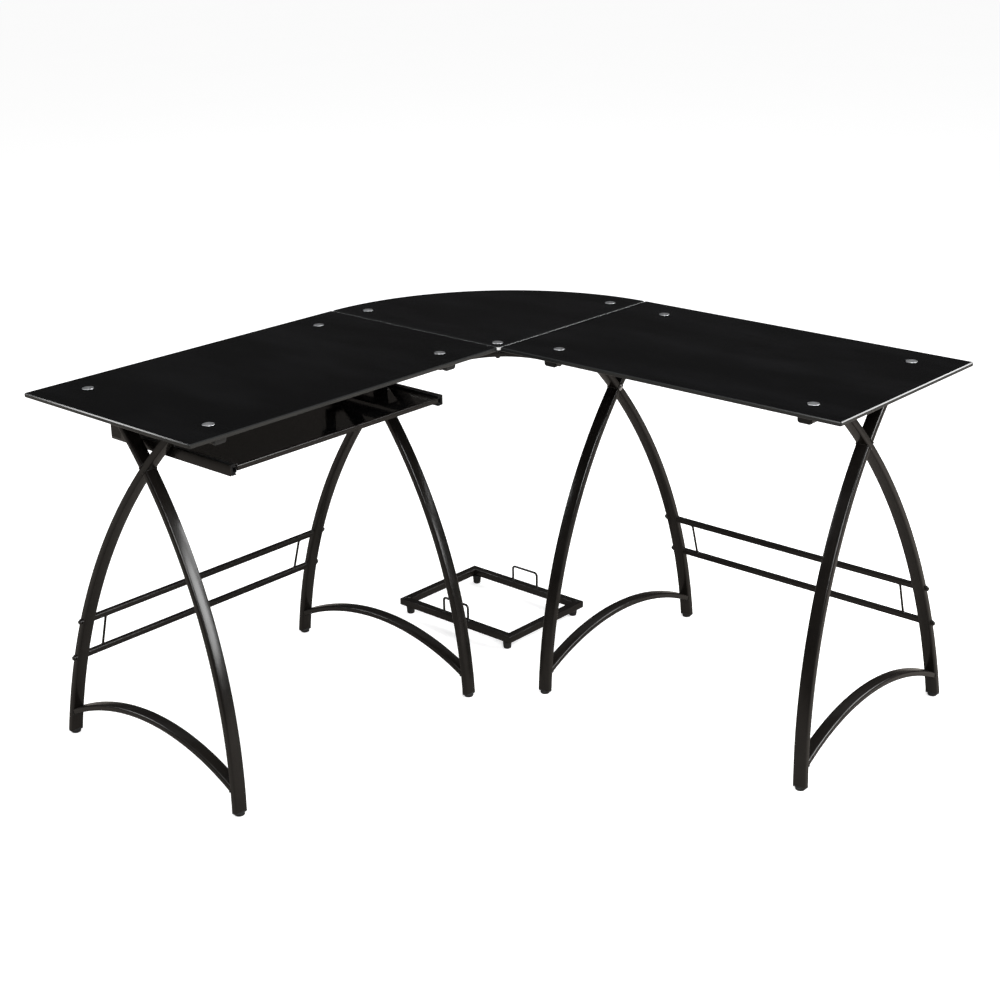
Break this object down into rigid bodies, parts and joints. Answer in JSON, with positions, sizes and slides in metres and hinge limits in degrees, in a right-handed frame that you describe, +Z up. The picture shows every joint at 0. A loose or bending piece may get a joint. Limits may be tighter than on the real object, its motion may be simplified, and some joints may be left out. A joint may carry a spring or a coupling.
{
  "type": "corner computer desk",
  "caption": "L-shaped desk of black glass panels on crossed, curved tube legs, with a keyboard tray on ball slides and a loose floor stand for a computer case",
  "frame": {"origin": "centre of the footprint, on the floor", "axes": "+Z up; the right wing runs along +X with its front edge facing -Y; the wing with the keyboard tray runs along -Y with its front edge facing +X; the rounded corner points to -X +Y"},
  "size_m": [1.3172, 1.3172, 0.7404],
  "materials": {
    "black_glass": "opaque black tempered glass, polished faces and ground, polished edges",
    "powder_coat": "satin black powder coat on steel tube",
    "brushed_metal": "brushed round caps set flush in the glass",
    "black_plastic": "matte black plastic glides and end plugs",
    "slide_steel": "black zinc plated slide members",
    "retainer_steel": "bright zinc ball retainers"
  },
  "bodies": {
    "desk": {"glass_right": "black_glass", "cap_right_inner_front": "brushed_metal", "cap_right_inner_back": "brushed_metal", "cap_right_outer_front": "brushed_metal", "cap_right_outer_back": "brushed_metal", "rail_right_outer": "powder_coat", "frame_right_outer_rear_leg": "powder_coat", "frame_right_outer_front_leg_lower": "powder_coat", "frame_right_outer_front_leg_upper": "powder_coat", "frame_right_outer_arch": "powder_coat", "frame_right_outer_foot_front": "black_plastic", "frame_right_outer_foot_rear": "black_plastic", "rail_right_inner": "powder_coat", "frame_right_inner_rear_leg": "powder_coat", "frame_right_inner_front_leg_lower": "powder_coat", "frame_right_inner_front_leg_upper": "powder_coat", "frame_right_inner_arch": "powder_coat", "frame_right_inner_foot_front": "black_plastic", "frame_right_inner_foot_rear": "black_plastic", "stretcher_right": "powder_coat", "glass_left": "black_glass", "cap_left_inner_front": "brushed_metal", "cap_left_inner_back": "brushed_metal", "cap_left_outer_front": "brushed_metal", "cap_left_outer_back": "brushed_metal", "rail_left_outer": "powder_coat", "frame_left_outer_rear_leg": "powder_coat", "frame_left_outer_front_leg_lower": "powder_coat", "frame_left_outer_front_leg_upper": "powder_coat", "frame_left_outer_arch": "powder_coat", "frame_left_outer_foot_front": "black_plastic", "frame_left_outer_foot_rear": "black_plastic", "rail_left_inner": "powder_coat", "frame_left_inner_rear_leg": "powder_coat", "frame_left_inner_front_leg_lower": "powder_coat", "frame_left_inner_front_leg_upper": "powder_coat", "frame_left_inner_arch": "powder_coat", "frame_left_inner_foot_front": "black_plastic", "frame_left_inner_foot_rear": "black_plastic", "stretcher_left": "powder_coat", "slide_outer_fixed": "slide_steel", "tray_bracket_outer": "powder_coat", "slide_inner_fixed": "slide_steel", "tray_bracket_inner": "powder_coat", "glass_corner": "black_glass", "cap_corner_tip": "brushed_metal", "cap_corner_left": "brushed_metal", "cap_corner_right": "brushed_metal", "corner_bar": "powder_coat"},
    "tray": {"tray_frame": "powder_coat", "tray_glass": "black_glass", "slide_outer_moving": "slide_steel", "slide_inner_moving": "slide_steel"},
    "slide_retainers": {"slide_outer_retainer": "retainer_steel", "slide_inner_retainer": "retainer_steel"},
    "computer_stand": {"stand_frame": "powder_coat", "stand_foot_left_front": "black_plastic", "stand_foot_left_back": "black_plastic", "stand_foot_right_front": "black_plastic", "stand_foot_right_back": "black_plastic"}
  },
  "joints": [
    {"name": "tray_slide", "type": "slide", "parent": "desk", "child": "tray", "axis": [1, 0, 0], "range_m": [0, 0.25]},
    {"name": "retainer_slide", "type": "slide", "parent": "desk", "child": "slide_retainers", "axis": [1, 0, 0], "range_m": [0, 0.125]},
    {"name": "stand_shift", "type": "slide", "parent": "desk", "child": "computer_stand", "axis": [0, 1, 0], "range_m": [-0.1, 0.1]}
  ],
  "couplings": [
    {"joint": "retainer_slide", "follows": "tray_slide", "ratio": 0.5}
  ]
}
